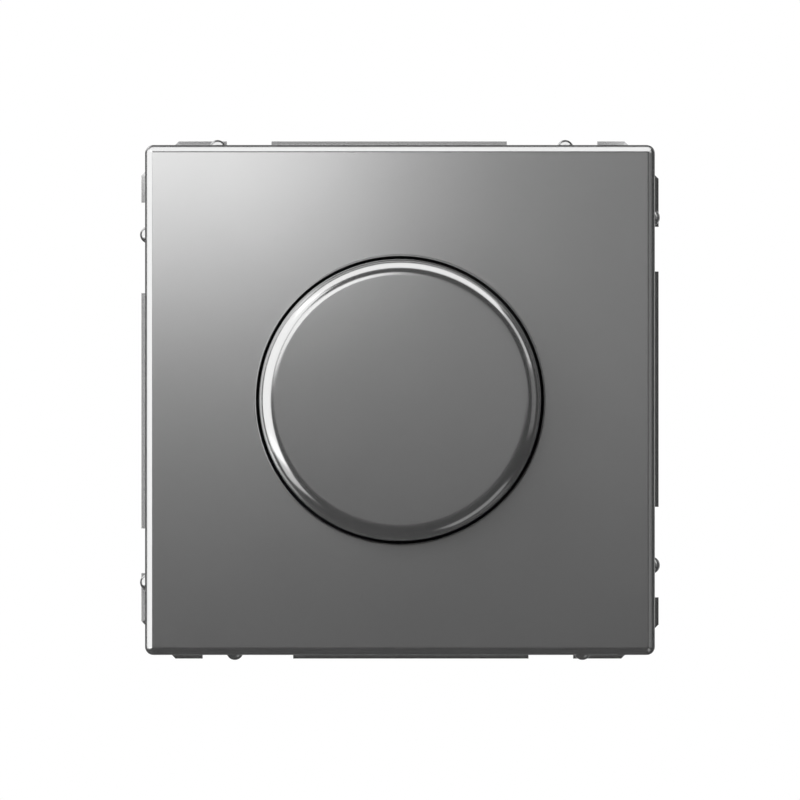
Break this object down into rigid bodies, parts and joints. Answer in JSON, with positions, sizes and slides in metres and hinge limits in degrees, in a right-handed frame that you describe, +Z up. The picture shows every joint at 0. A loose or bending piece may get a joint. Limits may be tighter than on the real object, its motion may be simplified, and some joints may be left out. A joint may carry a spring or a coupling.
{
  "type": "rotary dimmer switch",
  "caption": "Flush-mounted rotary dimmer switch: a square metallic grey central plate with a round knob, in front of a support frame and an insert for a round wall box.",
  "frame": {"origin": "on the knob's axis, in the wall plane, which is the rear face of the support frame", "axes": "+Z up, +X to the right seen from the front, +Y into the wall; the knob points to -Y"},
  "size_m": [0.072, 0.0455, 0.072],
  "materials": {
    "metallic_cover": "satin metallic grey lacquer on moulded plastic",
    "zinc_plated_steel": "bright zinc plating on pressed steel",
    "spring_steel": "bare spring steel",
    "nickel_brass": "nickel plated turned brass",
    "brass_parts": "bare pressed brass",
    "grey_housing": "dark grey moulded plastic, finely grained",
    "black_plastic": "black moulded plastic",
    "white_plastic": "off-white moulded plastic",
    "carbon_track": "carbon film on laminate",
    "board_laminate": "green solder resist on glass laminate",
    "ferrite": "dark grey pressed ferrite",
    "copper_wire": "enamelled copper wire",
    "capacitor_case": "yellow moulded case",
    "aluminium_sheet": "bent aluminium sheet",
    "trimmer_disc": "red moulded disc"
  },
  "bodies": {
    "root": {"cover_plate": "metallic_cover", "plate_nut": "black_plastic", "support_frame": "zinc_plated_steel", "front_shell": "grey_housing", "rear_shell": "grey_housing", "shell_screws": "zinc_plated_steel", "control_bush": "nickel_brass", "bush_washer": "zinc_plated_steel", "bush_nut": "nickel_brass", "pot_body": "black_plastic", "resistive_track": "carbon_track", "switch_body": "black_plastic", "switch_contacts": "brass_parts", "switch_spring": "spring_steel", "circuit_board": "board_laminate", "choke_core": "ferrite", "choke_winding": "copper_wire", "capacitor": "capacitor_case", "heat_sink": "aluminium_sheet", "triac": "black_plastic", "triac_screw": "zinc_plated_steel", "trimmer_body": "white_plastic", "terminal_block": "white_plastic", "terminal_clamp_1": "brass_parts", "terminal_clamp_2": "brass_parts", "terminal_clamp_3": "brass_parts", "terminal_screws": "zinc_plated_steel"},
    "plunger": {"switch_plunger": "white_plastic", "contact_bridge": "brass_parts"},
    "knob": {"rotary_knob": "metallic_cover", "knob_grip_spring": "spring_steel", "control_shaft": "nickel_brass"},
    "wiper": {"wiper_rotor": "white_plastic", "wiper_contact": "spring_steel"},
    "trimmer": {"trimmer_rotor": "trimmer_disc"},
    "left_claw": {"left_claw": "zinc_plated_steel"},
    "left_claw_screw": {"left_claw_screw": "zinc_plated_steel"},
    "right_claw": {"right_claw": "zinc_plated_steel"},
    "right_claw_screw": {"right_claw_screw": "zinc_plated_steel"}
  },
  "joints": [
    {"name": "knob_push", "type": "slide", "parent": "root", "child": "plunger", "axis": [0, 1, 0], "range_m": [0, 0.0015], "stiffness_N_per_m": 1500, "springref_m": -0.001, "deforming": ["switch_spring"]},
    {"name": "knob_turn", "type": "hinge", "parent": "plunger", "child": "knob", "pos_m": [0, 0, 0], "axis": [0, 1, 0], "range_deg": [0, 300]},
    {"name": "wiper_turn", "type": "hinge", "parent": "root", "child": "wiper", "pos_m": [0, 0, 0], "axis": [0, 1, 0], "range_deg": [0, 300]},
    {"name": "trimmer_turn", "type": "hinge", "parent": "root", "child": "trimmer", "pos_m": [-0.0136, 0, -0.013], "axis": [0, 1, 0], "range_deg": [0, 270]},
    {"name": "left_claw_swing", "type": "hinge", "parent": "root", "child": "left_claw", "pos_m": [-0.0231, 0.0008, 0], "axis": [0, 0, 1], "range_deg": [0, 18]},
    {"name": "left_claw_screw_turn", "type": "hinge", "parent": "left_claw", "child": "left_claw_screw", "pos_m": [-0.0254, 0, 0], "axis": [0, 1, 0], "range_deg": [0, 1440]},
    {"name": "right_claw_swing", "type": "hinge", "parent": "root", "child": "right_claw", "pos_m": [0.0231, 0.0008, 0], "axis": [0, 0, -1], "range_deg": [0, 18]},
    {"name": "right_claw_screw_turn", "type": "hinge", "parent": "right_claw", "child": "right_claw_screw", "pos_m": [0.0254, 0, 0], "axis": [0, 1, 0], "range_deg": [0, 1440]}
  ],
  "couplings": [
    {"joint": "wiper_turn", "follows": "knob_turn", "ratio": 1},
    {"joint": "left_claw_swing", "follows": "left_claw_screw_turn", "ratio": 0.0125},
    {"joint": "right_claw_swing", "follows": "right_claw_screw_turn", "ratio": 0.0125}
  ]
}
